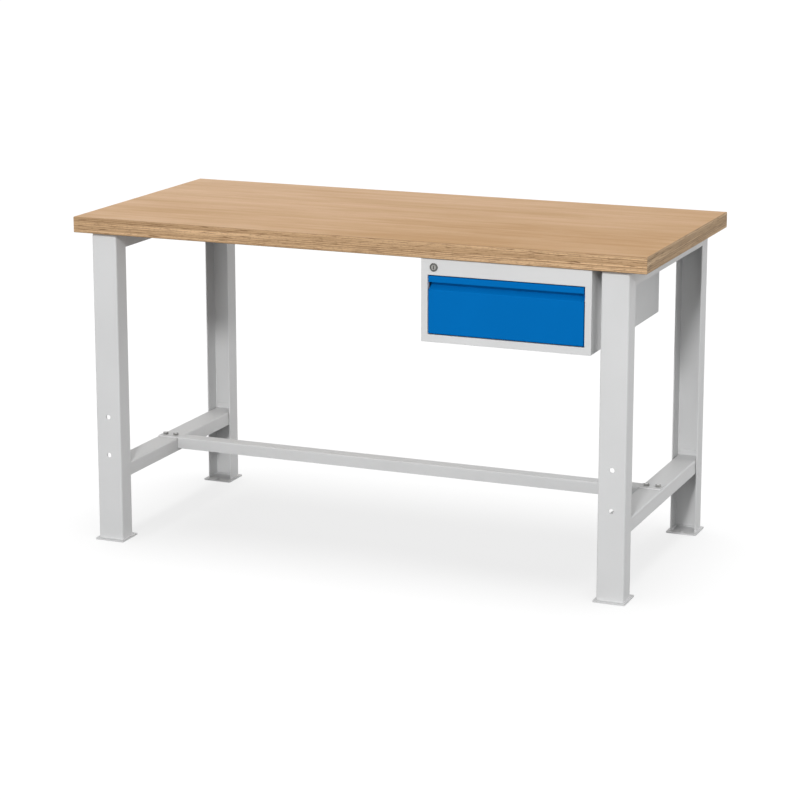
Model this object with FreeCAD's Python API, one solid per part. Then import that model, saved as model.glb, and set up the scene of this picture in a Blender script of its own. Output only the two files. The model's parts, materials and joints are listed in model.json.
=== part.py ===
import FreeCAD, Part
import math
import os

# A fixed height workbench: a plywood worktop on two welded end frames of folded channel, a stretcher
# between the frames, and one lockable drawer in a housing under the worktop.
# Millimetres. +X runs along the bench to the right, +Y to its back, +Z up. The origin is on the floor,
# under the middle of the worktop.

Vector = FreeCAD.Vector

# Worktop
worktop_length = 1500.0
worktop_depth = 700.0
worktop_thickness = 40.0
worktop_edge_chamfer = 1.5
bench_height = 840.0

# End frames
end_overhang = 45.0
front_overhang = 13.0
leg_width = 68.0
leg_depth = 50.0
leg_sheet = 2.5
leg_bend_radius = 4.0
top_rail_height = 40.0
frame_corner_radius = 10.0
leg_hole_diameter = 12.0
leg_hole_height = 225.0
leg_hole_pitch = 100.0

# Foot plates
foot_plate_length = 80.0
foot_plate_width = 80.0
foot_plate_thickness = 4.0
foot_plate_lip = 11.0
foot_plate_corner = 3.0
anchor_hole_diameter = 9.0
anchor_hole_edge = 10.5

# Lower rails
lower_rail_top = 197.0
lower_rail_height = 35.0
lower_rail_side_gap = 1.5
lower_rail_sheet = 2.5
lower_rail_bend = 1.5
lower_rail_end_flange = 13.0

# Stretcher
stretcher_depth = 40.0
stretcher_height = 30.0
stretcher_sheet = 2.5
stretcher_bend = 1.5
stretcher_end_gap = 1.0
stretcher_tab_margin = 3.0

# Stretcher bolts and nuts
bolt_diameter = 8.0
bolt_hole_gap = 0.3
bolt_spacing = 30.0
bolt_head_flats = 13.0
bolt_head_height = 5.3
bolt_end = 4.0
nut_height = 6.5
nut_bore_gap = 0.05

# Hexagon wood screws under the worktop
screw_diameter = 6.0
screw_depth = 28.0
screw_head_flats = 10.0
screw_head_height = 4.0
screw_hole_gap = 0.5
pilot_gap = 0.05
rail_screw_spacing = 480.0

# Drawer housing
housing_width = 426.0
housing_height = 203.0
housing_depth = 550.0
housing_sheet = 1.2
housing_bend = 0.8
housing_setback = 5.0
housing_leg_gap = 20.0
housing_flange = 26.0
housing_screw_margin = 70.0
back_flange = 12.0

# Front frame round the drawer
frame_side_border = 16.5
frame_top_border = 40.0
frame_bottom_border = 18.2
frame_return = 11.0
frame_edge_radius = 0.8

# Drawer front with its grip recess
drawer_gap = 2.4
front_sheet = 1.2
front_bend = 1.0
front_depth = 17.0
lip_height = 14.5
grip_opening = 18.9
grip_slope_rise = 9.0
grip_end_notch = 6.5

# Drawer body
tray_length = 490.0
tray_height = 95.0
tray_sheet = 1.0
tray_bend = 0.8
tray_hem = 8.0
tray_floor_gap = 3.0
inner_front_gap = 0.3
back_side_gap = 0.3
back_top_gap = 3.0
drawer_travel = 450.0

# Drawer slides
slide_length = 500.0
slide_width = 17.0
slide_height = 46.0
slide_sheet = 1.5
slide_bend = 0.5
slide_middle = 53.0
slide_lip = 2.6
slide_opening_gap = 1.0
slide_front_gap = 2.0
cabinet_flange = 11.0
middle_flange = 11.0
bracket_sheet = 1.5
bracket_bend = 1.0
bracket_height = 36.0
bracket_end_gap = 10.0

# Ball cages
ball_diameter = 4.0
ball_gap = 0.15
balls_per_row = 3
ball_pitch = 80.0
cage_sheet = 0.6
cage_bend = 0.4
cage_gap = 0.5
cage_end = 20.0
cage_lip = 1.8

# Cylinder lock
lock_inset = 32.5
lock_drop = 21.0
bezel_diameter = 20.0
bezel_height = 2.5
bezel_chamfer = 0.8
barrel_diameter = 18.0
barrel_length = 23.0
barrel_hole_gap = 0.2
plug_diameter = 13.0
plug_gap = 0.06
plug_recess = 0.4
plug_square = 8.0
keyway_width = 2.0
keyway_height = 8.5
keyway_depth = 6.0
lock_nut_flats = 23.0
lock_nut_height = 5.0
cam_thickness = 2.5
cam_width = 15.0
cam_root_radius = 6.0
cam_tip_radius = 2.5
cam_reach = 31.5
cam_play = 0.3
cam_square_gap = 0.1
cam_screw_diameter = 4.0
cam_screw_depth = 8.0
cam_screw_head_diameter = 10.0
cam_screw_head_height = 2.4

# Strike that the cam holds
strike_sheet = 1.5
strike_bend = 0.8
strike_width = 16.0
strike_foot = 14.0
strike_clearance = 2.0
strike_under_cam = 4.0
strike_under_frame = 4.0

# Places worked out from the sizes above
frame_top = bench_height - worktop_thickness
frame_half_depth = worktop_depth / 2 - front_overhang
leg_middle_x = worktop_length / 2 - end_overhang - leg_width / 2
past = 1.0

lower_rail_width = leg_width - 2 * leg_sheet - 2 * lower_rail_side_gap
lower_rail_half_length = frame_half_depth - leg_sheet
stretcher_top = lower_rail_top + stretcher_sheet
stretcher_half_length = leg_middle_x - lower_rail_width / 2 - stretcher_end_gap
stretcher_tab_end = leg_middle_x + lower_rail_width / 2 - stretcher_tab_margin

housing_right = leg_middle_x - leg_width / 2 - housing_leg_gap
housing_x = housing_right - housing_width / 2
housing_left = housing_right - housing_width
housing_front = -worktop_depth / 2 + housing_setback
housing_back = housing_front + housing_depth
housing_bottom = frame_top - housing_height
opening_half_width = housing_width / 2 - frame_side_border
opening_bottom = housing_bottom + frame_bottom_border
opening_top = frame_top - frame_top_border

front_half_width = opening_half_width - drawer_gap
front_bottom = opening_bottom + drawer_gap
front_top = opening_top - drawer_gap
lip_bottom = front_top - lip_height
grip_bottom = lip_bottom - grip_opening
inner_front_y = housing_front + front_depth
tray_front = inner_front_y + tray_sheet
tray_back = tray_front + tray_length
tray_bottom = front_bottom + front_sheet + tray_floor_gap
tray_top = tray_bottom + tray_height

web_gap = cage_sheet + 2 * cage_gap
cabinet_face = opening_half_width - slide_opening_gap + web_gap + slide_sheet
tray_half_width = cabinet_face - slide_width
slide_front = tray_front + slide_front_gap
slide_z = front_bottom + slide_middle
race = ball_diameter + 2 * ball_gap

lock_x = housing_left + lock_inset
lock_z = frame_top - lock_drop
frame_back = housing_front + housing_sheet
barrel_end = housing_front + barrel_length
cam_front = barrel_end + cam_play
cam_back = cam_front + cam_thickness


def in_yz(x):
    """Places points of a drawing in the plane across X."""
    return lambda u, v: Vector(x, u, v)


def in_xz(y):
    """Places points of a drawing in the plane across Y."""
    return lambda u, v: Vector(u, y, v)


def in_xy(z):
    """Places points of a drawing in the plane across Z."""
    return lambda u, v: Vector(u, v, z)


def block(x, y, z):
    """A box between three pairs of limits."""
    return Part.makeBox(x[1] - x[0], y[1] - y[0], z[1] - z[0], Vector(x[0], y[0], z[0]))


def turn_of(before, corner, after):
    """Direction in, direction out, and the angle between them at a corner, positive to the left."""
    come = (corner - before).normalize()
    go = (after - corner).normalize()
    angle = math.atan2(come.x * go.y - come.y * go.x, come.dot(go))
    return come, go, angle


def arc_points(before, corner, after, radius):
    """Centre, start, middle and end of the arc that rounds a corner."""
    come, go, angle = turn_of(before, corner, after)
    reach = radius * math.tan(abs(angle) / 2)
    start = corner - come * reach
    end = corner + go * reach
    centre = start + Vector(-come.y, come.x, 0) * math.copysign(radius, angle)
    middle = centre + (corner - centre).normalize() * radius
    return centre, start, middle, end


def rounded_face(points, radii, place):
    """A face with straight sides whose corners have the given radii, or are sharp at 0."""
    corners = [Vector(u, v, 0) for u, v in points]
    edges = []
    joints = []
    for i, corner in enumerate(corners):
        if radii[i] == 0:
            joints.append((corner, corner))
            continue
        following = corners[(i + 1) % len(corners)]
        centre, start, middle, end = arc_points(corners[i - 1], corner, following, radii[i])
        joints.append((start, end))
        edges.append(Part.Arc(*[place(p.x, p.y) for p in (start, middle, end)]).toShape())
    for i, (start, end) in enumerate(joints):
        before = joints[i - 1][1]
        edges.append(Part.makeLine(place(before.x, before.y), place(start.x, start.y)))
    return Part.Face(Part.Wire(Part.__sortEdges__(edges)))


def path_edges(start, bends, end, place):
    """Straight and bent edges along one face of a sheet."""
    edges = []
    here = start
    for bend in bends:
        edges.append(Part.makeLine(place(here.x, here.y), place(bend[0].x, bend[0].y)))
        edges.append(Part.Arc(*[place(p.x, p.y) for p in bend]).toShape())
        here = bend[2]
    edges.append(Part.makeLine(place(here.x, here.y), place(end.x, end.y)))
    return edges


def folded_sheet(points, sheet, inside_radius, side, place, sweep):
    """A sheet folded along the points, which lie on one of its faces, and swept along its folds.

    The sheet lies to the left of the line of points where side is 1, and to the right where it is -1.
    """
    line = [Vector(u, v, 0) for u, v in points]
    near_bends = []
    far_bends = []
    for before, corner, after in zip(line, line[1:], line[2:]):
        angle = turn_of(before, corner, after)[2]
        inner = angle * side > 0
        near_radius = inside_radius + sheet if inner else inside_radius
        far_radius = inside_radius if inner else inside_radius + sheet
        centre, *near = arc_points(before, corner, after, near_radius)
        near_bends.append(near)
        far_bends.append([centre + (p - centre) * (far_radius / near_radius) for p in near])
    first = (line[1] - line[0]).normalize()
    last = (line[-1] - line[-2]).normalize()
    far_start = line[0] + Vector(-first.y, first.x, 0) * sheet * side
    far_end = line[-1] + Vector(-last.y, last.x, 0) * sheet * side
    edges = path_edges(line[0], near_bends, line[-1], place)
    edges += path_edges(far_start, far_bends, far_end, place)
    edges.append(Part.makeLine(place(line[0].x, line[0].y), place(far_start.x, far_start.y)))
    edges.append(Part.makeLine(place(line[-1].x, line[-1].y), place(far_end.x, far_end.y)))
    return Part.Face(Part.Wire(Part.__sortEdges__(edges))).extrude(sweep)


def hexagon(flats, middle, place, sweep):
    """A hexagonal prism by its width across the flats."""
    radius = flats / math.sqrt(3)
    corners = [(middle[0] + radius * math.cos(math.radians(60 * i)),
                middle[1] + radius * math.sin(math.radians(60 * i))) for i in range(6)]
    return rounded_face(corners, [0] * 6, place).extrude(sweep)


def mirrored(shape):
    """The same piece on the left side of the drawer."""
    return shape.mirror(Vector(housing_x, 0, 0), Vector(1, 0, 0))


def save(name, *solids):
    """Writes a node, one solid or a group of equal pieces."""
    shape = solids[0] if len(solids) == 1 else Part.makeCompound(list(solids))
    shape.exportStep("parts/" + name + ".step")


def rail_screw_places():
    """Where the worktop is screwed to the top rails."""
    return [(side * leg_middle_x, end * rail_screw_spacing / 2) for side in (-1, 1) for end in (-1, 1)]


def housing_screw_places():
    """Where the housing's top flanges are screwed to the worktop."""
    inset = housing_width / 2 - housing_flange / 2
    middle = (housing_front + housing_back) / 2
    reach = housing_depth / 2 - housing_screw_margin
    return [(housing_x + side * inset, middle + end * reach) for side in (-1, 1) for end in (-1, 1)]


def holes_up(places, diameter, bottom, depth):
    """Upright cylinders for holes at the given places."""
    return [Part.makeCylinder(diameter / 2, depth, Vector(x, y, bottom)) for x, y in places]


def make_worktop():
    """Plywood slab with its edges taken off and pilot holes from below."""
    slab = block((-worktop_length / 2, worktop_length / 2), (-worktop_depth / 2, worktop_depth / 2),
                 (frame_top, bench_height))
    slab = slab.makeChamfer(worktop_edge_chamfer, slab.Edges)
    places = rail_screw_places() + housing_screw_places()
    pilots = holes_up(places, screw_diameter + 2 * pilot_gap, frame_top - past, screw_depth + 2 * past)
    return slab.cut(pilots)


def arch_block(width, inset, reach):
    """The end frame's form as one solid arch, drawn in by an inset and run past its open side by a reach."""
    half = frame_half_depth - inset
    top = frame_top - inset
    inner_half = frame_half_depth - leg_depth - reach
    inner_top = frame_top - top_rail_height - reach
    foot = foot_plate_thickness - reach
    points = [(-half, foot), (-half, top), (half, top), (half, foot),
              (inner_half, foot), (inner_half, inner_top), (-inner_half, inner_top), (-inner_half, foot)]
    corner = frame_corner_radius - inset
    face = rounded_face(points, [0, corner, corner, 0, 0, 0, 0, 0], in_yz(-width / 2))
    arch = face.extrude(Vector(width, 0, 0))

    def on_outside(edge):
        middle = edge.CenterOfMass
        beyond = abs(middle.y) > inner_half + leg_depth / 2 or middle.z > inner_top + top_rail_height / 2
        return edge.BoundBox.XLength < 0.001 and beyond and middle.z > foot + past

    return arch.makeFillet(leg_bend_radius - inset, [edge for edge in arch.Edges if on_outside(edge)])


def make_end_frame(x):
    """Front leg, rear leg and top rail of one folded channel, mitred at the top corners."""
    channel = arch_block(leg_width, 0, 0).cut(arch_block(leg_width - 2 * leg_sheet, leg_sheet, past))
    low = (frame_half_depth - leg_depth, frame_top - top_rail_height)
    high = (frame_half_depth + leg_depth, frame_top + top_rail_height)
    mitre = rounded_face([(-high[0], high[1]), (-low[0], low[1]), low, high], [0] * 4, in_yz(-leg_width))
    mitre = mitre.extrude(Vector(2 * leg_width, 0, 0))
    top_rail = channel.common(mitre).Solids[0]
    front_leg, rear_leg = sorted(channel.cut(mitre).Solids, key=lambda leg: leg.CenterOfMass.y)
    for piece in (front_leg, rear_leg, top_rail):
        piece.translate(Vector(x, 0, 0))
    for step in (0, 1):
        centre = Vector(x, -frame_half_depth - past, leg_hole_height + step * leg_hole_pitch)
        hole = Part.makeCylinder(leg_hole_diameter / 2, leg_sheet + 2 * past, centre, Vector(0, 1, 0))
        front_leg = front_leg.cut(hole)
    places = [place for place in rail_screw_places() if place[0] == x]
    top_rail = top_rail.cut(holes_up(places, screw_diameter + 2 * screw_hole_gap,
                                     frame_top - leg_sheet - past, leg_sheet + 2 * past))
    return front_leg, rear_leg, top_rail


def make_foot_plate(x, end):
    """Plate under a leg, with an anchor hole on the leg's open side; end is -1 in front and 1 behind."""
    outer = end * (frame_half_depth + foot_plate_lip)
    inner = outer - end * foot_plate_width
    corners = [(x - foot_plate_length / 2, outer), (x + foot_plate_length / 2, outer),
               (x + foot_plate_length / 2, inner), (x - foot_plate_length / 2, inner)]
    face = rounded_face(corners, [foot_plate_corner] * 4, in_xy(0))
    plate = face.extrude(Vector(0, 0, foot_plate_thickness))
    anchor = (x, inner + end * anchor_hole_edge)
    return plate.cut(holes_up([anchor], anchor_hole_diameter, -past, foot_plate_thickness + 2 * past))


def stretcher_bolt_places(x):
    """Two bolts across a lower rail."""
    return [(x - bolt_spacing / 2, 0.0), (x + bolt_spacing / 2, 0.0)]


def make_lower_rail(x):
    """Inverted channel between the legs' webs, with a flange turned up at each end."""
    half = lower_rail_width / 2
    low = lower_rail_top - lower_rail_height
    points = [(x - half, low), (x - half, lower_rail_top), (x + half, lower_rail_top), (x + half, low)]
    rail = folded_sheet(points, lower_rail_sheet, lower_rail_bend, -1, in_xz(-lower_rail_half_length),
                        Vector(0, 2 * lower_rail_half_length, 0))
    flat = half - lower_rail_sheet - lower_rail_bend
    for end in (-1, 1):
        reach = end * lower_rail_half_length
        turned = [(reach, lower_rail_top + lower_rail_end_flange), (reach, lower_rail_top - lower_rail_sheet),
                  (0, lower_rail_top - lower_rail_sheet)]
        rail = rail.fuse(folded_sheet(turned, lower_rail_sheet, lower_rail_bend, -end, in_yz(x - flat),
                                      Vector(2 * flat, 0, 0)))
    holes = holes_up(stretcher_bolt_places(x), bolt_diameter + 2 * bolt_hole_gap,
                     lower_rail_top - lower_rail_sheet - past, lower_rail_sheet + 2 * past)
    return rail.removeSplitter().cut(holes)


def make_stretcher():
    """Inverted channel between the lower rails, with a flat tab over each of them."""
    half = stretcher_depth / 2
    low = stretcher_top - stretcher_height
    points = [(-half, low), (-half, stretcher_top), (half, stretcher_top), (half, low)]
    beam = folded_sheet(points, stretcher_sheet, stretcher_bend, -1, in_yz(-stretcher_half_length),
                        Vector(2 * stretcher_half_length, 0, 0))
    flat = half - stretcher_sheet - stretcher_bend
    for side in (-1, 1):
        root = side * stretcher_half_length
        overlap = root - side * stretcher_sheet
        outer = side * stretcher_tab_end
        corners = [(overlap, -flat), (overlap, flat), (root, flat), (root, half),
                   (outer, half), (outer, -half), (root, -half), (root, -flat)]
        tab = rounded_face(corners, [0] * len(corners), in_xy(lower_rail_top))
        tab = tab.extrude(Vector(0, 0, stretcher_sheet))
        holes = holes_up(stretcher_bolt_places(side * leg_middle_x), bolt_diameter + 2 * bolt_hole_gap,
                         lower_rail_top - past, stretcher_sheet + 2 * past)
        beam = beam.fuse(tab).cut(holes)
    return beam.removeSplitter()


def make_bolt(x, y):
    """Hexagon bolt through a stretcher tab and a lower rail."""
    head = hexagon(bolt_head_flats, (x, y), in_xy(stretcher_top), Vector(0, 0, bolt_head_height))
    length = stretcher_sheet + lower_rail_sheet + nut_height + bolt_end
    shank = Part.makeCylinder(bolt_diameter / 2, length, Vector(x, y, stretcher_top - length))
    return head.fuse(shank)


def make_nut(x, y):
    """Hexagon nut under a lower rail's top."""
    seat = lower_rail_top - lower_rail_sheet
    nut = hexagon(bolt_head_flats, (x, y), in_xy(seat - nut_height), Vector(0, 0, nut_height))
    return nut.cut(holes_up([(x, y)], bolt_diameter + 2 * nut_bore_gap,
                            seat - nut_height - past, nut_height + 2 * past))


def make_wood_screw(x, y, seat):
    """Hexagon wood screw driven upward from a seat."""
    head = hexagon(screw_head_flats, (x, y), in_xy(seat - screw_head_height), Vector(0, 0, screw_head_height))
    shank = Part.makeCylinder(screw_diameter / 2, frame_top + screw_depth - seat, Vector(x, y, seat))
    return head.fuse(shank)


def make_housing_shell():
    """Sides and bottom of the housing in one folded sheet, with flanges for the screws at its top."""
    points = [(housing_left + housing_flange, frame_top), (housing_left, frame_top),
              (housing_left, housing_bottom), (housing_right, housing_bottom),
              (housing_right, frame_top), (housing_right - housing_flange, frame_top)]
    length = housing_depth - housing_sheet
    shell = folded_sheet(points, housing_sheet, housing_bend, 1, in_xz(frame_back), Vector(0, length, 0))
    return shell.cut(holes_up(housing_screw_places(), screw_diameter + 2 * screw_hole_gap,
                              frame_top - housing_sheet - past, housing_sheet + 2 * past))


def make_housing_back():
    """Back of the housing, a pan with two side flanges that clears the shell's bends."""
    half = housing_width / 2 - housing_sheet
    points = [(housing_x - half, housing_back - back_flange), (housing_x - half, housing_back),
              (housing_x + half, housing_back), (housing_x + half, housing_back - back_flange)]
    low = housing_bottom + housing_sheet + housing_bend
    high = frame_top - housing_sheet - housing_bend
    return folded_sheet(points, housing_sheet, housing_bend, -1, in_xy(low), Vector(0, 0, high - low))


def make_front_frame():
    """Face round the drawer with its edges returned inward, and the hole for the lock."""
    face = block((housing_left, housing_right), (housing_front, frame_back), (housing_bottom, frame_top))
    opening = (housing_x - opening_half_width, housing_x + opening_half_width)
    height = (opening_bottom, opening_top)
    inward = frame_back + frame_return
    collar = block((opening[0] - housing_sheet, opening[1] + housing_sheet), (housing_front, inward),
                   (height[0] - housing_sheet, height[1] + housing_sheet))
    window = block(opening, (housing_front - past, inward + past), height)
    frame = face.fuse(collar).cut(window).removeSplitter()

    def at_front(edge):
        return edge.BoundBox.YMax < housing_front + 0.001

    frame = frame.makeFillet(frame_edge_radius, [edge for edge in frame.Edges if at_front(edge)])
    lock_hole = Part.makeCylinder(barrel_diameter / 2 + barrel_hole_gap, housing_sheet + 2 * past,
                                  Vector(lock_x, housing_front - past, lock_z), Vector(0, 1, 0))
    return frame.cut(lock_hole)


def make_drawer_front():
    """Folded front with a grip recess along its top that is notched and open at both ends."""
    face = housing_front
    pocket = inner_front_y - front_sheet
    points = [(inner_front_y, front_bottom), (face, front_bottom), (face, grip_bottom),
              (pocket, grip_bottom + grip_slope_rise), (pocket, front_top - front_sheet),
              (face + front_sheet, front_top - front_sheet), (face + front_sheet, lip_bottom)]
    left = housing_x - front_half_width
    front = folded_sheet(points, front_sheet, front_bend, -1, in_yz(left), Vector(2 * front_half_width, 0, 0))
    bend = front_sheet + front_bend
    for side in (-1, 1):
        outer = housing_x + side * front_half_width
        inner = outer - side * front_sheet
        returned = block(sorted((inner, outer)), (face + front_sheet, inner_front_y),
                         (front_bottom + front_sheet, grip_bottom - bend))
        notched = sorted((outer + side * past, outer - side * grip_end_notch))
        behind_lip = block(notched, (face + bend, inner_front_y + past), (lip_bottom, front_top - bend))
        under_lip = block(notched, (face - past, inner_front_y + past), (grip_bottom - bend, lip_bottom))
        front = front.fuse(returned).cut([behind_lip, under_lip])
    return front.removeSplitter()


def make_inner_front():
    """Plate behind the drawer front that the tray is welded to."""
    half = front_half_width - front_sheet - inner_front_gap
    return block((housing_x - half, housing_x + half), (inner_front_y, tray_front),
                 (front_bottom + front_sheet, front_top - front_sheet))


def make_tray():
    """Bottom and sides of the drawer, with hems turned in along the top."""
    left = housing_x - tray_half_width
    right = housing_x + tray_half_width
    points = [(left + tray_hem, tray_top), (left, tray_top), (left, tray_bottom),
              (right, tray_bottom), (right, tray_top), (right - tray_hem, tray_top)]
    return folded_sheet(points, tray_sheet, tray_bend, 1, in_xz(tray_front), Vector(0, tray_length, 0))


def make_drawer_back():
    """Back of the drawer, between the sides and folded over at its top."""
    half = tray_half_width - tray_sheet - back_side_gap
    low = tray_bottom + tray_sheet + tray_bend
    high = tray_top - tray_sheet - back_top_gap
    points = [(tray_back, low), (tray_back, high), (tray_back - tray_hem, high)]
    return folded_sheet(points, tray_sheet, tray_bend, 1, in_yz(housing_x - half), Vector(2 * half, 0, 0))


def make_slide_bracket():
    """Channel on the housing's right side that carries a slide clear of the front frame."""
    wall = housing_right - housing_sheet
    web = housing_x + cabinet_face
    high = slide_z + bracket_height / 2
    low = slide_z - bracket_height / 2
    points = [(wall, high), (web, high), (web, low), (wall, low)]
    length = slide_length - 2 * bracket_end_gap
    return folded_sheet(points, bracket_sheet, bracket_bend, 1, in_xz(slide_front + bracket_end_gap),
                        Vector(0, length, 0))


def slide_levels():
    """Half heights of the cabinet, middle and drawer rails."""
    cabinet = slide_height / 2
    middle = cabinet - slide_sheet - race
    drawer = middle - slide_sheet - race
    return cabinet, middle, drawer


def slide_webs():
    """Outer web faces of the cabinet and middle rails, and of the drawer rail on the tray."""
    cabinet = housing_x + cabinet_face
    middle = cabinet - slide_sheet - web_gap
    drawer = housing_x + tray_half_width
    return cabinet, middle, drawer


def make_slide_rails():
    """Cabinet, middle and drawer rails of the right slide, each nested in the last."""
    cabinet, middle, drawer = slide_webs()
    high = [slide_z + level for level in slide_levels()]
    low = [slide_z - level for level in slide_levels()]
    lips = cabinet - cabinet_flange
    cabinet_points = [(lips, high[0] - slide_lip), (lips, high[0]), (cabinet, high[0]),
                      (cabinet, low[0]), (lips, low[0]), (lips, low[0] + slide_lip)]
    reach = middle - middle_flange
    middle_points = [(reach, high[1]), (middle, high[1]), (middle, low[1]), (reach, low[1])]
    tip = middle - slide_sheet - web_gap
    drawer_points = [(tip, high[2]), (drawer, high[2]), (drawer, low[2]), (tip, low[2])]
    place = in_xz(slide_front)
    sweep = Vector(0, slide_length, 0)
    return [folded_sheet(points, slide_sheet, slide_bend, side, place, sweep)
            for points, side in ((cabinet_points, -1), (middle_points, -1), (drawer_points, 1))]


def ball_rows():
    """Web face and half height of the ball rows outside and inside the middle rail."""
    cabinet, middle, drawer = slide_webs()
    levels = slide_levels()
    outer = (cabinet - slide_sheet - cage_gap, levels[1] + race / 2)
    inner = (middle - slide_sheet - cage_gap, levels[2] + race / 2)
    return outer, inner


def make_ball(centre):
    """Ball with flat facets, as wide across each pair of them as the round one."""
    size = ball_diameter
    corner = Vector(-size / 2, -size / 2, -size / 2)
    ball = Part.makeBox(size, size, size, corner)
    for axis in (Vector(1, 0, 0), Vector(0, 1, 0), Vector(0, 0, 1)):
        turned = Part.makeBox(size, size, size, corner)
        turned.rotate(Vector(0, 0, 0), axis, 45)
        ball = ball.common(turned)
    ball.translate(centre)
    return ball


def make_ball_cage(web, level):
    """Folded strip with a row of balls at its top and at its bottom."""
    ball_x = web - cage_lip - ball_diameter
    edge = ball_x - ball_diameter / 2 - cage_lip
    high = slide_z + level + cage_sheet / 2
    low = slide_z - level - cage_sheet / 2
    points = [(edge, high), (web, high), (web, low), (edge, low)]
    length = (balls_per_row - 1) * ball_pitch + 2 * cage_end
    front = slide_front + (slide_length - length) / 2
    strip = folded_sheet(points, cage_sheet, cage_bend, -1, in_xz(front), Vector(0, length, 0))
    balls = []
    for step in range(balls_per_row):
        for side in (-1, 1):
            centre = Vector(ball_x, front + cage_end + step * ball_pitch, slide_z + side * level)
            balls.append(make_ball(centre).Solids[0])
            pocket = ball_diameter / 2 + ball_gap
            strip = strip.cut(block((ball_x - pocket, ball_x + pocket),
                                    (centre.y - pocket, centre.y + pocket),
                                    (centre.z - pocket, centre.z + pocket)))
    return Part.makeCompound([strip] + balls)


def make_lock_barrel():
    """Fixed barrel of the lock, with its bezel on the front frame."""
    centre = Vector(lock_x, housing_front - bezel_height, lock_z)
    axis = Vector(0, 1, 0)
    bezel = Part.makeCylinder(bezel_diameter / 2, bezel_height, centre, axis)
    rim = [edge for edge in bezel.Edges if edge.BoundBox.YMax < centre.y + 0.001]
    bezel = bezel.makeChamfer(bezel_chamfer, rim)
    barrel = bezel.fuse(Part.makeCylinder(barrel_diameter / 2, bezel_height + barrel_length, centre, axis))
    bore = Part.makeCylinder(plug_diameter / 2 + plug_gap, bezel_height + barrel_length + 2 * past,
                             centre - axis * past, axis)
    return barrel.cut(bore).removeSplitter()


def make_lock_plug():
    """Turning plug with its keyway, and a square end for the cam."""
    axis = Vector(0, 1, 0)
    front = housing_front - bezel_height + plug_recess
    round_part = Part.makeCylinder(plug_diameter / 2, barrel_end - front, Vector(lock_x, front, lock_z), axis)
    half = plug_square / 2
    square = block((lock_x - half, lock_x + half), (barrel_end, cam_back), (lock_z - half, lock_z + half))
    keyway = block((lock_x - keyway_width / 2, lock_x + keyway_width / 2),
                   (front - past, front + keyway_depth),
                   (lock_z - keyway_height / 2, lock_z + keyway_height / 2))
    thread = Part.makeCylinder(cam_screw_diameter / 2 + nut_bore_gap, cam_screw_depth + past,
                               Vector(lock_x, cam_back - cam_screw_depth, lock_z), axis)
    return round_part.fuse(square).cut([keyway, thread])


def make_lock_nut():
    """Nut that clamps the barrel on the front frame."""
    nut = hexagon(lock_nut_flats, (lock_x, lock_z), in_xz(frame_back), Vector(0, lock_nut_height, 0))
    return nut.cut(Part.makeCylinder(barrel_diameter / 2 + nut_bore_gap, lock_nut_height + 2 * past,
                                     Vector(lock_x, frame_back - past, lock_z), Vector(0, 1, 0)))


def make_lock_cam():
    """Cam on the plug's square end, level while the drawer is unlocked."""
    half = cam_width / 2
    corners = [(lock_x - half, lock_z - half), (lock_x + cam_reach, lock_z - half),
               (lock_x + cam_reach, lock_z + half), (lock_x - half, lock_z + half)]
    radii = [cam_root_radius, cam_tip_radius, cam_tip_radius, cam_root_radius]
    cam = rounded_face(corners, radii, in_xz(cam_front)).extrude(Vector(0, cam_thickness, 0))
    hole = plug_square / 2 + cam_square_gap
    return cam.cut(block((lock_x - hole, lock_x + hole), (cam_front - past, cam_back + past),
                         (lock_z - hole, lock_z + hole)))


def make_cam_screw():
    """Screw in the plug's end that holds the cam."""
    axis = Vector(0, 1, 0)
    seat = Vector(lock_x, cam_back, lock_z)
    head = Part.makeCylinder(cam_screw_head_diameter / 2, cam_screw_head_height, seat, axis)
    shank = Part.makeCylinder(cam_screw_diameter / 2, cam_screw_depth, seat - axis * cam_screw_depth, axis)
    return head.fuse(shank)


def make_lock_strike():
    """Bracket on the drawer that stands behind the cam when it is turned down."""
    seat = lock_z - cam_reach - strike_under_cam
    stand = cam_back + strike_clearance
    points = [(tray_front, seat - strike_foot), (tray_front, seat), (stand, seat),
              (stand, front_top - strike_under_frame)]
    return folded_sheet(points, strike_sheet, strike_bend, -1, in_yz(lock_x - strike_width / 2),
                        Vector(strike_width, 0, 0))


def build_end_frames():
    """Both end frames with their feet and lower rails."""
    for name, side in (("left", -1), ("right", 1)):
        x = side * leg_middle_x
        front_leg, rear_leg, top_rail = make_end_frame(x)
        save(name + "_front_leg", front_leg)
        save(name + "_rear_leg", rear_leg)
        save(name + "_top_rail", top_rail)
        save(name + "_lower_rail", make_lower_rail(x))
        save(name + "_front_foot_plate", make_foot_plate(x, -1))
        save(name + "_rear_foot_plate", make_foot_plate(x, 1))


def build_stretcher():
    """Stretcher and its fasteners."""
    places = [place for side in (-1, 1) for place in stretcher_bolt_places(side * leg_middle_x)]
    save("stretcher", make_stretcher())
    save("stretcher_bolts", *[make_bolt(x, y) for x, y in places])
    save("stretcher_nuts", *[make_nut(x, y) for x, y in places])


def build_worktop():
    """Worktop and the screws that hold it on the end frames."""
    save("worktop", make_worktop())
    save("worktop_screws", *[make_wood_screw(x, y, frame_top - leg_sheet) for x, y in rail_screw_places()])


def build_housing():
    """Drawer housing and its screws."""
    save("housing_shell", make_housing_shell())
    save("housing_back", make_housing_back())
    save("housing_front_frame", make_front_frame())
    seat = frame_top - housing_sheet
    save("housing_screws", *[make_wood_screw(x, y, seat) for x, y in housing_screw_places()])


def build_drawer():
    """Drawer front, body and strike."""
    save("drawer_front", make_drawer_front())
    save("drawer_inner_front", make_inner_front())
    save("drawer_tray", make_tray())
    save("drawer_back", make_drawer_back())
    save("lock_strike", make_lock_strike())


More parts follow.
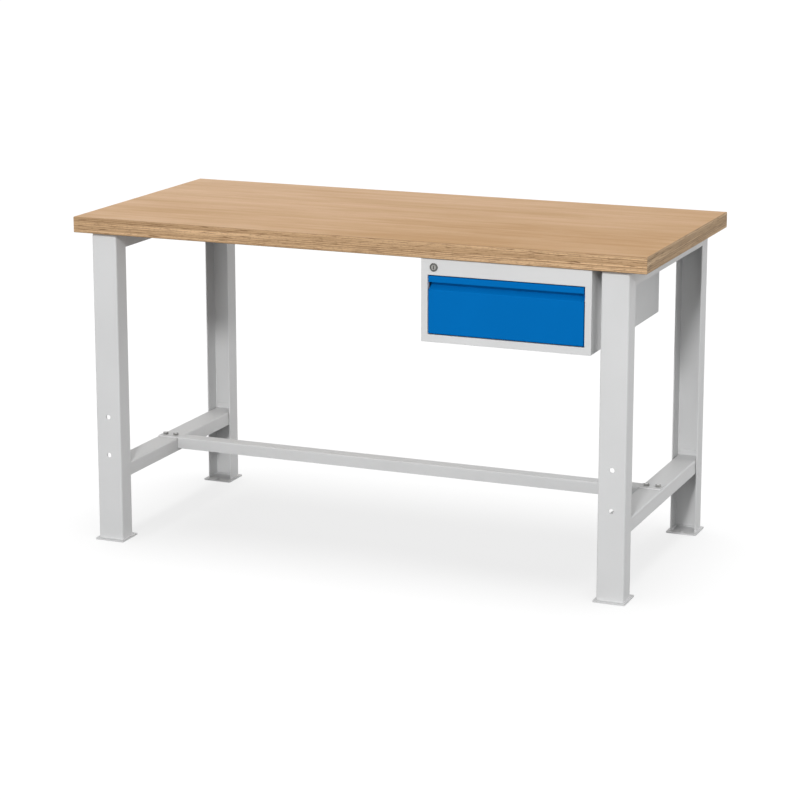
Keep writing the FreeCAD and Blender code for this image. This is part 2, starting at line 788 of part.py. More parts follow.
def build_slides():
    """Telescopic slides on both sides of the drawer."""
    pieces = dict(zip(("cabinet_rail", "middle_rail", "drawer_rail"), make_slide_rails()))
    pieces["slide_bracket"] = make_slide_bracket()
    for name, row in zip(("outer_ball_cage", "inner_ball_cage"), ball_rows()):
        pieces[name] = make_ball_cage(*row)
    for name, piece in pieces.items():
        save("right_" + name, piece)
        save("left_" + name, mirrored(piece))


def build_lock():
    """Cylinder lock in the front frame."""
    save("lock_barrel", make_lock_barrel())
    save("lock_plug", make_lock_plug())
    save("lock_nut", make_lock_nut())
    save("lock_cam", make_lock_cam())
    save("lock_cam_screw", make_cam_screw())


os.makedirs("parts", exist_ok=True)
build_worktop()
build_end_frames()
build_stretcher()
build_housing()
build_drawer()
build_slides()
build_lock()
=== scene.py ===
import json
import math

import bmesh
import bpy
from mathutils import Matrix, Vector


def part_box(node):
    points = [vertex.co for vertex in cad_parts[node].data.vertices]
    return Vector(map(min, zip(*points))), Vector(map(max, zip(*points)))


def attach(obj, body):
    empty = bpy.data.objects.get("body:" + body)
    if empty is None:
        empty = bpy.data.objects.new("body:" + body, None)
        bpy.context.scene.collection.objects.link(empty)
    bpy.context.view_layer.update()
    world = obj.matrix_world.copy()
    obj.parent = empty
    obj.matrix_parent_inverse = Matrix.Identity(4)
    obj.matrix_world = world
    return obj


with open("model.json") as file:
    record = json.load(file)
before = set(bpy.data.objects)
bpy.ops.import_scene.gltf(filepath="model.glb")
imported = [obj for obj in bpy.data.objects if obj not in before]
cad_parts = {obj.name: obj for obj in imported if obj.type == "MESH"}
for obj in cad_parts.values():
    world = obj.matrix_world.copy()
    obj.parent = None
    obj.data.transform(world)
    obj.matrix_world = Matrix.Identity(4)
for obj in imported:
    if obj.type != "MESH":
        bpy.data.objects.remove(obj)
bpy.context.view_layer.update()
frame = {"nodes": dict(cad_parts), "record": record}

nodes = frame["nodes"]

# Lengths below are in metres, angles in degrees and colours linear

# Camera, fitted to the straight edges of the photograph; lens and sensor are in millimetres
camera_eye = Vector((2.3338, -5.6622, 1.8484))
camera_azimuth = 22.45
camera_elevation = 11.82
camera_lens = 110.4
camera_sensor = 36.0
camera_shift = -0.1
camera_reach = 100.0

# Softbox in front
softbox_place = Vector((1.78, -7.0, 4.59))
softbox_target = Vector((0.0, 0.0, 0.4))
softbox_power = 333.0
softbox_size = 0.67

# Lamp overhead, for the shadow on the floor
overhead_place = Vector((0.0, 0.0, 3.0))
overhead_aim = Vector((0.0, 0.0, -1.0))
overhead_strength = 6.0
overhead_softness = 34.0

# Light of the surrounding, at the horizon and from the back
horizon_level = 1.82
back_level = 0.305
back_start = -0.2
back_end = 0.6

# Floor
floor_half = 30.0
floor_bounce = 0.091
floor_tone = 0.105
floor_glow = 0.775

# Colours
grey_colour = (0.597, 0.600, 0.602)
blue_colour = (0.0002, 0.130, 0.415)
zinc_colour = (0.50, 0.50, 0.50)
# Lock bezel, dark with a painted reflection of dark surroundings
bezel_dark_reflection = (0.135, 0.135, 0.125)
plug_colour = (0.33, 0.325, 0.31)
# Bolt heads: painted highlight in the middle of the top, painted shade on its rim
bolt_top_highlight = (0.72, 0.72, 0.71)
bolt_rim_shade = (0.17, 0.17, 0.165)
bolt_side = (0.36, 0.36, 0.35)
veneer_light = (0.757, 0.517, 0.332)
veneer_dark = (0.425, 0.216, 0.058)
ply_light = (0.680, 0.458, 0.270)
ply_dark = (0.430, 0.272, 0.145)
ply_gap = (0.170, 0.095, 0.045)
end_edge_tint = (0.91, 0.97, 1.03)

# Gloss of the finishes
grey_roughness = 0.48
grey_gloss = 0.25
blue_roughness = 0.55
blue_gloss = 0.02
zinc_roughness = 0.34
nickel_roughness = 0.26
wood_gloss = 0.12

# Textures of paint and metal, in waves a metre, and the height of their relief
coat_clouds = 7.0
coat_specks = 900.0
coat_peel = 420.0
coat_peel_height = 0.0006
plate_clouds = 60.0
plate_streaks = (1500.0, 60.0, 1500.0)
plate_streak_height = 0.0002
bolt_wear_and_highlight = 700.0
bolt_wear_height = 0.0002

# Textures of the plywood's face, in waves a metre along the bench, across it and up
veneer_patches = (2.6, 10.0, 1.0)
veneer_figure = (1.9, 36.0, 1.0)
veneer_fibre = (11.0, 520.0, 1.0)
veneer_flecks = (45.0, 640.0, 1.0)

# Deepening of the veneer's tone to the right, to the front and to the corner between them; partly the wood's
# own tone and partly painted sheen, paler at the back left
tone_and_sheen_right = 0.225
tone_and_sheen_front = 0.200
tone_and_sheen_corner = 0.060

# Textures of the plywood's edges, in waves a metre along the edge, across it and up
ply_waves = (3.0, 1.0, 20.0)
ply_streaks = (0.9, 1.0, 310.0)
ply_pores = (130.0, 1.0, 330.0)
ply_bands = (0.5, 1.0, 120.0)
ply_seams = (2.2, 1.0, 100.0)
ply_splits = (20.0, 1.0, 480.0)

# Plies, how far they sway, and the height of the wood's relief
ply_count = 9
ply_sway = 0.0003
wood_relief = 0.0004
worktop_low, worktop_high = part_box("worktop")
ply_thickness = (worktop_high.z - worktop_low.z) / ply_count

# Folded sheet of the end frames
leg_sheet = 0.0025
leg_inner_bend = 0.0015
rail_sheet = 0.0025
rail_bend = 0.0015
rail_flange = 0.013
bend_steps = 6

# Weld beads; ripple, tip and growth from the tip are shares of a bead's radius
bead_sides = 8
bead_step = 0.0008
bead_pitch = 0.0032
bead_ripple = 0.13
bead_tip = 0.35
bead_tip_growth = 0.2
foot_bead = 0.0030
rail_bead = 0.0019

# Stretcher bolts, and the painted highlight in the middle of their heads with its ragged edge, inside a rim
# of painted shade
bolt_radius = 0.004
bolt_spacing = 0.030
highlight_radius = 0.0035
highlight_end = 1.3 * highlight_radius
highlight_ragged = 0.0004

# Thread on the bolts' ends, which fades out over a few of its steps
thread_pitch = 0.00125
thread_height = 0.0004
thread_half_width = 0.4 * thread_pitch
thread_sink = 0.2 * thread_height
thread_steps = 28
thread_fade = 3.5

# Drawer front at the ends of its grip
front_sheet = 0.0012
front_bend = 0.0010
lip_height = 0.0145
grip_opening = 0.0189
grip_slope_rise = 0.0090
grip_end_notch = 0.0065

# Raised ring of the lock
ring_radius = 0.0080
ring_thickness = 0.0012
ring_steps = 48
ring_sides = 12


def feed(tree, socket, value):
    """Puts a link or a plain value on a socket."""
    if hasattr(value, "is_linked"):
        tree.links.new(value, socket)
    else:
        socket.default_value = value


def add_node(tree, kind, inputs, **settings):
    """A shader node with its settings, and with links or values on its inputs."""
    made = tree.nodes.new(kind)
    for key, value in settings.items():
        setattr(made, key, value)
    for key, value in inputs.items():
        feed(tree, made.inputs[key], value)
    return made


def opaque(colour):
    """A plain colour with full cover; a link stays as it is."""
    return (*colour, 1.0) if isinstance(colour, tuple) else colour


def shade(colour, factor):
    """A colour made lighter or darker."""
    return tuple(channel * factor for channel in colour)


class Shader:
    """A material's node tree with short calls for the nodes that are used here."""

    def __init__(self, name):
        self.material = bpy.data.materials.new(name)
        self.material.use_nodes = True
        self.tree = self.material.node_tree
        self.surface = self.tree.nodes["Principled BSDF"]
        coordinates = add_node(self.tree, "ShaderNodeTexCoord", {})
        self.place = coordinates.outputs["Object"]
        self.facing = coordinates.outputs["Normal"]

    def node(self, kind, inputs, **settings):
        """The first output of a new node."""
        return add_node(self.tree, kind, inputs, **settings).outputs[0]

    def parts(self, vector):
        """The x, y and z of a vector."""
        return add_node(self.tree, "ShaderNodeSeparateXYZ", {"Vector": vector}).outputs

    def maths(self, operation, *values):
        """One step of arithmetic."""
        return self.node("ShaderNodeMath", dict(enumerate(values)), operation=operation)

    def noise(self, where, scale, detail=3.0, roughness=0.5):
        """Noise with one scale, in waves a metre."""
        inputs = {"Vector": where, "Scale": scale, "Detail": detail, "Roughness": roughness}
        return add_node(self.tree, "ShaderNodeTexNoise", inputs).outputs["Fac"]

    def grain(self, where, scales, detail=3.0, roughness=0.5):
        """Noise with a scale of its own along each axis."""
        stretched = self.node("ShaderNodeMapping", {"Vector": where, "Scale": scales})
        return self.noise(stretched, 1.0, detail, roughness)

    def ramp(self, value, low, high, out_low=0.0, out_high=1.0):
        """Carries the range from low to high over to another range, and stops at its ends."""
        inputs = {"Value": value, "From Min": low, "From Max": high, "To Min": out_low, "To Max": out_high}
        return self.node("ShaderNodeMapRange", inputs)

    def blend(self, amount, first, second, kind="MIX"):
        """A mix of two colours."""
        made = add_node(self.tree, "ShaderNodeMix", {}, data_type="RGBA", blend_type=kind)
        sockets = {socket.identifier: socket for socket in made.inputs}
        feed(self.tree, sockets["Factor_Float"], amount)
        feed(self.tree, sockets["A_Color"], opaque(first))
        feed(self.tree, sockets["B_Color"], opaque(second))
        return next(socket for socket in made.outputs if socket.identifier == "Result_Color")

    def bump(self, height, strength, distance):
        """Fine relief on the surface."""
        inputs = {"Height": height, "Strength": strength, "Distance": distance}
        self.set("Normal", self.node("ShaderNodeBump", inputs))

    def set(self, name, value):
        """Puts a link or a value on one of the surface's own sockets."""
        feed(self.tree, self.surface.inputs[name], value)


def powder_coat(name, colour, roughness, gloss):
    """Baked powder paint: fine orange peel, faint cloudiness and uneven gloss."""
    s = Shader(name)
    clouds = s.noise(s.place, coat_clouds, detail=4.0)
    specks = s.noise(s.place, coat_specks, detail=2.0)
    tone = s.blend(s.ramp(clouds, low=0.3, high=0.7), shade(colour, 0.975), shade(colour, 1.02))
    speckled = s.ramp(specks, low=0.62, high=0.8, out_high=0.25)
    smoothest = roughness - 0.05
    roughest = roughness + 0.06
    s.set("Base Color", s.blend(speckled, tone, shade(colour, 0.9)))
    s.set("Roughness", s.ramp(clouds, low=0.25, high=0.75, out_low=smoothest, out_high=roughest))
    s.set("Specular IOR Level", gloss)
    s.bump(s.noise(s.place, coat_peel), strength=0.12, distance=coat_peel_height)
    return s.material


def plated_metal(name, colour, roughness):
    """Plated steel with fine uneven gloss and thin rubbed streaks."""
    s = Shader(name)
    clouds = s.noise(s.place, plate_clouds)
    streaks = s.grain(s.place, plate_streaks, detail=2.0)
    smoothest = roughness - 0.06
    roughest = roughness + 0.1
    s.set("Metallic", 1.0)
    s.set("Base Color", s.blend(s.ramp(clouds, low=0.3, high=0.7), shade(colour, 0.94), shade(colour, 1.06)))
    s.set("Roughness", s.ramp(streaks, low=0.3, high=0.7, out_low=smoothest, out_high=roughest))
    s.bump(streaks, strength=0.15, distance=plate_streak_height)
    return s.material


def middle_along(name):
    """Middle of a node in the bench's long direction."""
    low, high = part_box(name)
    return (low.x + high.x) / 2


def from_bolt_axis(s):
    """Distance from the axis of the nearest stretcher bolt, with the left side taken as the right one."""
    x, y = s.parts(s.place)[:2]
    from_rail = s.maths("SUBTRACT", s.maths("ABSOLUTE", x), middle_along("right_lower_rail"))
    from_bolt = s.maths("SUBTRACT", s.maths("ABSOLUTE", from_rail), bolt_spacing / 2)
    squares = s.maths("ADD", s.maths("POWER", from_bolt, 2.0), s.maths("POWER", y, 2.0))
    return s.maths("SQRT", squares)


def highlighted_bolt_metal(name, top, rim, side):
    """Plated bolts whose heads carry a painted highlight in the middle of the top and painted shade on its
    rim, with a ragged edge between them.
    """
    s = Shader(name)
    wear_and_highlight = s.noise(s.place, bolt_wear_and_highlight)
    ragged = s.ramp(wear_and_highlight, low=0.3, high=0.7, out_low=-highlight_ragged, out_high=highlight_ragged)
    spread = s.maths("ADD", from_bolt_axis(s), ragged)
    on_top = s.ramp(s.parts(s.facing)[2], low=0.7, high=0.9)
    in_middle = s.ramp(spread, low=highlight_radius, high=highlight_end, out_low=1.0, out_high=0.0)
    # Painted highlight in the middle of each top, painted shade on its rim
    highlighted = s.maths("MULTIPLY", on_top, in_middle)
    s.set("Metallic", s.ramp(highlighted, low=0.0, high=1.0, out_low=1.0, out_high=0.2))
    s.set("Base Color", s.blend(on_top, side, s.blend(in_middle, rim, top)))
    s.set("Roughness", s.ramp(wear_and_highlight, low=0.3, high=0.7, out_low=0.32, out_high=0.46))
    s.bump(wear_and_highlight, strength=0.1, distance=bolt_wear_height)
    return s.material


def tone_and_sheen_drift(s, x, y):
    """Tone of the veneer, palest at the back left and deepest at the front right: partly the wood's own tone
    and partly painted sheen.
    """
    to_right = s.ramp(x, low=worktop_low.x, high=worktop_high.x)
    to_front = s.ramp(y, low=worktop_high.y, high=worktop_low.y)
    to_corner = s.maths("MULTIPLY", to_right, to_front)
    drift = s.maths("MULTIPLY", to_right, tone_and_sheen_right)
    drift = s.maths("ADD", drift, s.maths("MULTIPLY", to_front, tone_and_sheen_front))
    return s.maths("ADD", drift, s.maths("MULTIPLY", to_corner, tone_and_sheen_corner))


def face_veneer(s, x, y):
    """Colour, figure and fibre of the face veneer, with its grain along the bench."""
    patches = s.grain(s.place, veneer_patches, detail=4.0, roughness=0.6)
    figure = s.grain(s.place, veneer_figure, detail=5.0, roughness=0.6)
    fibre = s.grain(s.place, veneer_fibre, roughness=0.6)
    flecks = s.grain(s.place, veneer_flecks, detail=1.0)
    patched = s.ramp(patches, low=0.35, high=0.65, out_low=0.07, out_high=0.295)
    figured = s.ramp(figure, low=0.35, high=0.65, out_low=-0.07, out_high=0.115)
    # The drift puts painted sheen into the veneer's tone
    tone = s.maths("ADD", s.maths("ADD", tone_and_sheen_drift(s, x, y), patched), figured)
    colour = s.blend(tone, veneer_light, veneer_dark)
    colour = s.blend(s.ramp(fibre, low=0.45, high=0.75, out_high=0.22), colour, veneer_dark)
    flecked = s.ramp(flecks, low=0.64, high=0.76, out_high=0.35)
    return s.blend(flecked, colour, shade(veneer_dark, 0.9)), figure, fibre


def edge_place(s, x, y, z, on_front):
    """Place on an edge, measured along it and up, for the grain of the plies."""
    along = s.node("ShaderNodeMix", {"Factor": on_front, "A": y, "B": x})
    return s.node("ShaderNodeCombineXYZ", {"X": along, "Z": z})


def ply_layer(s, place, z):
    """Height over the worktop's underside, counted in plies."""
    waves = s.grain(place, ply_waves, detail=4.0)
    level = s.maths("SUBTRACT", z, worktop_low.z)
    level = s.maths("ADD", level, s.ramp(waves, low=0.2, high=0.8, out_low=-ply_sway, out_high=ply_sway))
    return s.maths("DIVIDE", level, ply_thickness)


def ply_grain(s, place, layer, on_front, on_end):
    """Colour of the plies, which show long grain and end grain in turn, and their streaks."""
    streaks = s.grain(place, ply_streaks, detail=5.0, roughness=0.65)
    pores = s.grain(place, ply_pores, detail=2.0)
    bands = s.grain(place, ply_bands)
    odd = s.maths("MODULO", s.maths("FLOOR", layer), 2.0)
    crossed = s.maths("ABSOLUTE", s.maths("SUBTRACT", odd, on_front))
    most_banded = s.ramp(on_end, low=0.0, high=1.0, out_low=0.5, out_high=0.8)
    banded = s.maths("MULTIPLY", s.ramp(bands, low=0.43, high=0.6), most_banded)
    colour = s.blend(s.ramp(streaks, low=0.42, high=0.58), ply_light, ply_dark)
    colour = s.blend(s.ramp(crossed, low=0.0, high=1.0, out_high=0.3), colour, shade(ply_dark, 0.94))
    colour = s.blend(banded, colour, shade(ply_dark, 0.85))
    colour = s.blend(s.ramp(pores, low=0.52, high=0.66, out_high=0.45), colour, shade(ply_dark, 0.7))
    return colour, streaks


def ply_seam(s, place, layer, on_end):
    """1 in the dark seams between the plies, which come and go along the edge."""
    from_middle = s.maths("ABSOLUTE", s.maths("SUBTRACT", s.maths("FRACT", layer), 0.5))
    strength = s.ramp(on_end, low=0.0, high=1.0, out_low=0.7, out_high=1.0)
    patchy = s.maths("MULTIPLY", s.ramp(s.grain(place, ply_seams), low=0.46, high=0.56), strength)
    return s.maths("MULTIPLY", s.ramp(from_middle, low=0.30, high=0.41), patchy)


def stacked_plies(s, place, layer, on_front):
    """Colour and relief of the edges: plies, the seams between them, and short splits."""
    on_end = s.maths("SUBTRACT", 1.0, on_front)
    colour, streaks = ply_grain(s, place, layer, on_front, on_end)
    splits = s.ramp(s.grain(place, ply_splits), low=0.56, high=0.64, out_high=0.9)
    colour = s.blend(ply_seam(s, place, layer, on_end), colour, ply_gap)
    colour = s.blend(splits, colour, ply_gap)
    # The edges at the ends are drawn cooler and less red
    colour = s.blend(on_end, colour, end_edge_tint, "MULTIPLY")
    return colour, s.maths("SUBTRACT", streaks, splits)


def plywood():
    """Beech plywood: a sanded face veneer, stacked plies on the edges and painted shade on the chamfered rim
    between them.
    """
    s = Shader("beech_plywood")
    x, y, z = s.parts(s.place)
    facing = s.parts(s.facing)
    upright = s.maths("ABSOLUTE", facing[2])
    on_face = s.ramp(upright, low=0.8, high=0.95)
    rim_shade_mask = s.maths("SUBTRACT", s.ramp(upright, low=0.3, high=0.5), on_face)
    on_front = s.ramp(s.maths("ABSOLUTE", facing[1]), low=0.5, high=0.65)

    face, figure, fibre = face_veneer(s, x, y)
    place = edge_place(s, x, y, z, on_front)
    edge, relief = stacked_plies(s, place, ply_layer(s, place, z), on_front)
    # Painted shade on the chamfered rim, darkened towards the plies' colour
    edge = s.blend(s.maths("MULTIPLY", rim_shade_mask, 0.6), edge, shade(ply_dark, 0.8))

    s.set("Base Color", s.blend(on_face, edge, face))
    s.set("Roughness", s.ramp(figure, low=0.3, high=0.7, out_low=0.56, out_high=0.66))
    s.set("Specular IOR Level", wood_gloss)
    s.bump(s.blend(on_face, relief, fibre), strength=0.2, distance=wood_relief)
    return s.material


def dress(name, material):
    """Puts a material on one of the part's nodes."""
    mesh = nodes[name].data
    mesh.materials.clear()
    mesh.materials.append(material)


def dress_by_slot():
    """Gives every node the finish of its slot in the record, and the plug and the bolts one of their own."""
    finish = {
        "beech_plywood": plywood(),
        "grey_paint": powder_coat("grey_powder_coat", grey_colour, grey_roughness, grey_gloss),
        "blue_paint": powder_coat("blue_powder_coat", blue_colour, blue_roughness, blue_gloss),
        "zinc_plate": plated_metal("zinc_plate", zinc_colour, zinc_roughness),
        # The bezel's nickel is dark with a painted reflection of dark surroundings
        "nickel_plate": plated_metal("nickel_plate", bezel_dark_reflection, nickel_roughness),
    }
    for part in frame["record"]["subparts"]:
        dress(part["node"], finish[part["material_slot"]])
    dress("lock_plug", plated_metal("bright_nickel_plate", plug_colour, nickel_roughness))
    dress("stretcher_bolts", highlighted_bolt_metal("steel_painted_highlight", bolt_top_highlight, bolt_rim_shade, bolt_side))
    return finish


def rounded_path(corners, radius):
    """Points along straight runs, with an arc at each inner corner."""
    points = [corners[0]]
    for before, corner, after in zip(corners, corners[1:], corners[2:]):
        back = (before - corner).normalized() * radius
        ahead = (after - corner).normalized() * radius
        centre = corner + back + ahead
        for step in range(bend_steps + 1):
            turn = math.radians(90 * step / bend_steps)
            points.append(centre - ahead * math.cos(turn) - back * math.sin(turn))
    points.append(corners[-1])
    return points


def even_points(points, step):
    """Points at even steps along a path."""
    placed = [points[0]]
    for start, end in zip(points, points[1:]):
        count = max(1, round((end - start).length / step))
        placed += [start.lerp(end, i / count) for i in range(1, count + 1)]
    return placed


def join_rings(mesh, rings):
    """Faces between each ring of points and the next."""
    for ring, following in zip(rings, rings[1:]):
        for k in range(len(ring)):
            beside = (k + 1) % len(ring)
            mesh.faces.new((ring[k], ring[beside], following[beside], following[k]))


def close_ends(mesh, rings):
    """A face on the first ring and one on the last."""
    mesh.faces.new(rings[0][::-1])
    mesh.faces.new(rings[-1])


def finish_piece(name, mesh, body, material):
    """Makes an object of a mesh and lets it ride on a body."""
    bmesh.ops.recalc_face_normals(mesh, faces=mesh.faces)
    for face in mesh.faces:
        face.smooth = len(face.verts) == 4
    data = bpy.data.meshes.new(name)
    mesh.to_mesh(data)
    mesh.free()
    data.materials.append(material)
    piece = bpy.data.objects.new(name, data)
    bpy.context.scene.collection.objects.link(piece)
    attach(piece, body)


def weld_bead(mesh, points, radius):
    """A rippled bead along a path, drawn in at both ends."""
    points = even_points(points, bead_step)
    last = len(points) - 1
    rings = []
    for i, point in enumerate(points):
        tangent = (points[min(i + 1, last)] - points[max(i - 1, 0)]).normalized()
        side = tangent.orthogonal().normalized()
        across = tangent.cross(side)
        taper = min(1.0, bead_tip + bead_tip_growth * min(i, last - i))
        ripple = 1.0 + bead_ripple * math.sin(math.tau * i * bead_step / bead_pitch)
        ring = []
        for k in range(bead_sides):
            turn = math.tau * k / bead_sides
            offset = side * math.cos(turn) + across * math.sin(turn)
            ring.append(mesh.verts.new(point + offset * radius * taper * ripple))
        rings.append(ring)
    join_rings(mesh, rings)
    close_ends(mesh, rings)


def weld_foot(mesh, leg, plate):
    """Bead round the inside of a leg's channel on its foot plate."""
    low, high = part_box(leg)
    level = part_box(plate)[1].z
    outward = 1.0 if low.y > 0.0 else -1.0
    web = (high.y if outward > 0.0 else low.y) - outward * leg_sheet
    mouth = (low.y if outward > 0.0 else high.y) + outward * foot_bead
    left = low.x + leg_sheet
    right = high.x - leg_sheet
    outline = [(left, mouth), (left, web), (right, web), (right, mouth)]
    corners = [Vector((x, y, level)) for x, y in outline]
    weld_bead(mesh, rounded_path(corners, leg_inner_bend + foot_bead), foot_bead)


def weld_rail(mesh, rail, end):
    """Bead over one end of a lower rail on the leg's web; end is -1 in front and 1 behind."""
    low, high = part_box(rail)
    web = end * high.y
    flat = rail_sheet + rail_bend
    shoulder = high.z - rail_flange
    foot = low.z + rail_bead
    rise = [(low.x, foot), (low.x, shoulder), (low.x + flat, shoulder), (low.x + flat, high.z)]
    fall = [(high.x - flat, high.z), (high.x - flat, shoulder), (high.x, shoulder), (high.x, foot)]
    corners = [Vector((x, web, z)) for x, z in rise + fall]
    weld_bead(mesh, rounded_path(corners, rail_bead), rail_bead)


def add_welds(paint):
    """Weld beads in all four legs, on the foot plates and round the ends of the lower rails."""
    for side in ("left", "right"):
        for place in ("front", "rear"):
            mesh = bmesh.new()
            weld_foot(mesh, f"{side}_{place}_leg", f"{side}_{place}_foot_plate")
            weld_rail(mesh, f"{side}_lower_rail", -1.0 if place == "front" else 1.0)
            finish_piece(f"{side}_{place}_welds", mesh, "bench", paint)


def thread(mesh, x, low, high):
    """A helical ridge round the end of a bolt at x."""
    count = int((high - low) / thread_pitch * thread_steps)
    up = Vector((0.0, 0.0, thread_half_width))
    sections = []
    for i in range(count + 1):
        turn = math.tau * i / thread_steps
        out = Vector((math.cos(turn), math.sin(turn), 0.0))
        centre = Vector((x, 0.0, low + thread_pitch * i / thread_steps))
        height = thread_height * min(1.0, i / thread_fade, (count - i) / thread_fade)
        root = centre + out * (bolt_radius - thread_sink)
        crest = centre + out * (bolt_radius + height)
        sections.append([mesh.verts.new(point) for point in (root + up, crest, root - up)])
    join_rings(mesh, sections)
    close_ends(mesh, sections)


def add_threads(steel):
    """Thread on the bolt ends that show under the stretcher's nuts."""
    bolts_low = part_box("stretcher_bolts")[0]
    nuts_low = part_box("stretcher_nuts")[0]
    mesh = bmesh.new()
    for side in ("left", "right"):
        middle = middle_along(f"{side}_lower_rail")
        for offset in (-bolt_spacing / 2, bolt_spacing / 2):
            thread(mesh, middle + offset, bolts_low.z + thread_pitch / 2, nuts_low.z)
    finish_piece("bolt_threads", mesh, "bench", steel)


def folded_strip(mesh, path, thickness, low, high):
    """A bent sheet between two x places, from the path of its front face in y and z."""
    rings = []
    for i, (y, z) in enumerate(path):
        before = path[max(i - 1, 0)]
        after = path[min(i + 1, len(path) - 1)]
        along = Vector((after[0] - before[0], after[1] - before[1])).normalized()
        behind_y = y + along.y * thickness
        behind_z = z - along.x * thickness
        ring = ((low, y, z), (low, behind_y, behind_z), (high, behind_y, behind_z), (high, y, z))
        rings.append([mesh.verts.new(point) for point in ring])
    join_rings(mesh, rings)
    close_ends(mesh, rings)


def add_grip_ends(paint):
    """Carries the grip's slope and back out to both ends of the drawer front."""
    low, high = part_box("drawer_front")
    back = high.y - front_sheet
    fold = front_sheet + front_bend
    slope_low = high.z - lip_height - grip_opening
    slope_high = slope_low + grip_slope_rise
    outline = [(low.y, slope_low - fold), (low.y, slope_low), (back, slope_high), (back, high.z - fold)]
    curve = rounded_path([Vector((0.0, y, z)) for y, z in outline], front_bend)
    path = [(point.y, point.z) for point in curve]
    mesh = bmesh.new()
    folded_strip(mesh, path, front_sheet, low.x, low.x + grip_end_notch)
    folded_strip(mesh, path, front_sheet, high.x - grip_end_notch, high.x)
    finish_piece("grip_ends", mesh, "drawer", paint)


def add_lock_ring(plate):
    """Raised round edge on the lock's bezel."""
    barrel_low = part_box("lock_barrel")[0]
    plug_low, plug_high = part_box("lock_plug")
    centre = Vector(((plug_low.x + plug_high.x) / 2, barrel_low.y, (plug_low.z + plug_high.z) / 2))
    mesh = bmesh.new()
    rings = []
    for i in range(ring_steps):
        turn = math.tau * i / ring_steps
        out = Vector((math.cos(turn), 0.0, math.sin(turn)))
        ring = []
        for k in range(ring_sides):
            roll = math.tau * k / ring_sides
            offset = out * math.cos(roll) + Vector((0.0, math.sin(roll), 0.0))
            ring.append(mesh.verts.new(centre + out * ring_radius + offset * ring_thickness))
        rings.append(ring)
    join_rings(mesh, rings + rings[:1])
    finish_piece("lock_ring", mesh, "bench", plate)


def add_camera():
    """Camera at the photograph's viewing angle."""
    azimuth = math.radians(camera_azimuth)
    elevation = math.radians(camera_elevation)
    level = math.cos(elevation)
    back = Vector((math.sin(azimuth) * level, -math.cos(azimuth) * level, math.sin(elevation)))
    data = bpy.data.cameras.new("camera")
    data.lens = camera_lens
    data.sensor_width = camera_sensor
    data.shift_y = camera_shift
    data.clip_end = camera_reach
    camera = bpy.data.objects.new("camera", data)
    camera.location = camera_eye
    camera.rotation_mode = "QUATERNION"
    camera.rotation_quaternion = (-back).to_track_quat("-Z", "Y")
    bpy.context.scene.collection.objects.link(camera)
    bpy.context.scene.camera = camera


def seen_directly(tree):
    """1 where the camera, a reflection or clear material looks at a surface, and 0 for its light."""
    path = add_node(tree, "ShaderNodeLightPath", {})
    total = path.outputs["Is Camera Ray"]
    for ray in ("Is Glossy Ray", "Is Transmission Ray"):
        either = add_node(tree, "ShaderNodeMath", {0: total, 1: path.outputs[ray]}, operation="MAXIMUM")
        total = either.outputs[0]
    return total


def add_lamp(name, kind, energy, place, aim):
    """A lamp that shines along aim."""
    lamp = bpy.data.lights.new(name, kind)
    lamp.energy = energy
    holder = bpy.data.objects.new(name, lamp)
    holder.location = place
    holder.rotation_mode = "QUATERNION"
    holder.rotation_quaternion = aim.to_track_quat("-Z", "Y")
    bpy.context.scene.collection.objects.link(holder)
    return holder


def limit_lamp(holder, floor, state):
    """Lets a lamp reach only the floor (INCLUDE), or everything else (EXCLUDE)."""
    reached = bpy.data.collections.new(holder.name + "_reach")
    reached.objects.link(floor)
    reached.collection_objects[0].light_linking.link_state = state
    holder.light_linking.receiver_collection = reached


def directed_level(tree):
    """Light of the surrounding: strongest at the horizon, with more from the back."""
    coordinates = add_node(tree, "ShaderNodeTexCoord", {})
    split = add_node(tree, "ShaderNodeSeparateXYZ", {"Vector": coordinates.outputs["Generated"]})
    y, z = split.outputs[1:]
    from_horizon = {"Value": z, "From Min": 1.0, "From Max": 0.0, "To Max": horizon_level}
    from_back = {"Value": y, "From Min": back_start, "From Max": back_end, "To Max": back_level}
    shares = [add_node(tree, "ShaderNodeMapRange", share).outputs[0] for share in (from_horizon, from_back)]
    return add_node(tree, "ShaderNodeMath", dict(enumerate(shares)), operation="ADD").outputs[0]


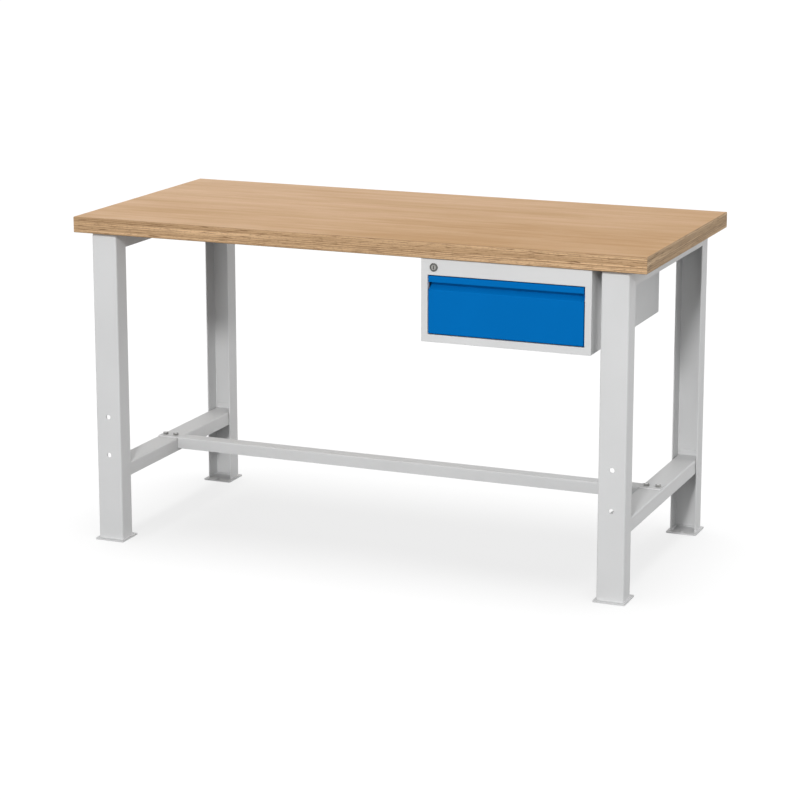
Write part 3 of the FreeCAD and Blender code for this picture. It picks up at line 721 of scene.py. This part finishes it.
def add_surrounding():
    """A white surrounding that gives its light from the horizon and the back."""
    world = bpy.data.worlds.new("studio")
    world.use_nodes = True
    tree = world.node_tree
    background = tree.nodes["Background"]
    levels = {"Value": seen_directly(tree), "To Min": directed_level(tree), "To Max": 1.0}
    level = add_node(tree, "ShaderNodeMapRange", levels).outputs[0]
    feed(tree, background.inputs["Color"], (1.0, 1.0, 1.0, 1.0))
    feed(tree, background.inputs["Strength"], level)
    bpy.context.scene.world = world


def add_light(floor):
    """A softbox in front, one lamp overhead for the floor's shadow, and a pale surrounding."""
    softbox = add_lamp("softbox", "AREA", softbox_power, softbox_place, softbox_target - softbox_place)
    softbox.data.size = softbox_size
    limit_lamp(softbox, floor, "EXCLUDE")
    overhead = add_lamp("overhead", "SUN", overhead_strength, overhead_place, overhead_aim)
    overhead.data.angle = math.radians(overhead_softness)
    limit_lamp(overhead, floor, "INCLUDE")
    add_surrounding()


def matt_grey(tree, level):
    """Output of a matt neutral surface."""
    return add_node(tree, "ShaderNodeBsdfDiffuse", {"Color": (level, level, level, 1.0)}).outputs[0]


def floor_finish():
    """A dim bounce for the light, and for the eye a tone that takes the shadow, with a glow up to white."""
    material = bpy.data.materials.new("floor")
    material.use_nodes = True
    tree = material.node_tree
    tree.nodes.remove(tree.nodes["Principled BSDF"])
    glow = add_node(tree, "ShaderNodeEmission", {"Strength": floor_glow}).outputs[0]
    seen = add_node(tree, "ShaderNodeAddShader", {0: matt_grey(tree, floor_tone), 1: glow}).outputs[0]
    either = {0: seen_directly(tree), 1: matt_grey(tree, floor_bounce), 2: seen}
    surface = add_node(tree, "ShaderNodeMixShader", either).outputs[0]
    feed(tree, tree.nodes["Material Output"].inputs["Surface"], surface)
    return material


def add_floor():
    """Pale floor that keeps a soft shadow and runs into the white surrounding."""
    ends = (-floor_half, floor_half)
    mesh = bpy.data.meshes.new("floor")
    mesh.from_pydata([(x, y, 0.0) for y in ends for x in ends], [], [(0, 1, 3, 2)])
    mesh.materials.append(floor_finish())
    floor = bpy.data.objects.new("floor", mesh)
    bpy.context.scene.collection.objects.link(floor)
    return floor


finishes = dress_by_slot()
add_welds(finishes["grey_paint"])
add_threads(finishes["zinc_plate"])
add_grip_ends(finishes["blue_paint"])
add_lock_ring(finishes["nickel_plate"])
add_camera()
add_light(add_floor())

bpy.context.scene.view_settings.view_transform = "Standard"
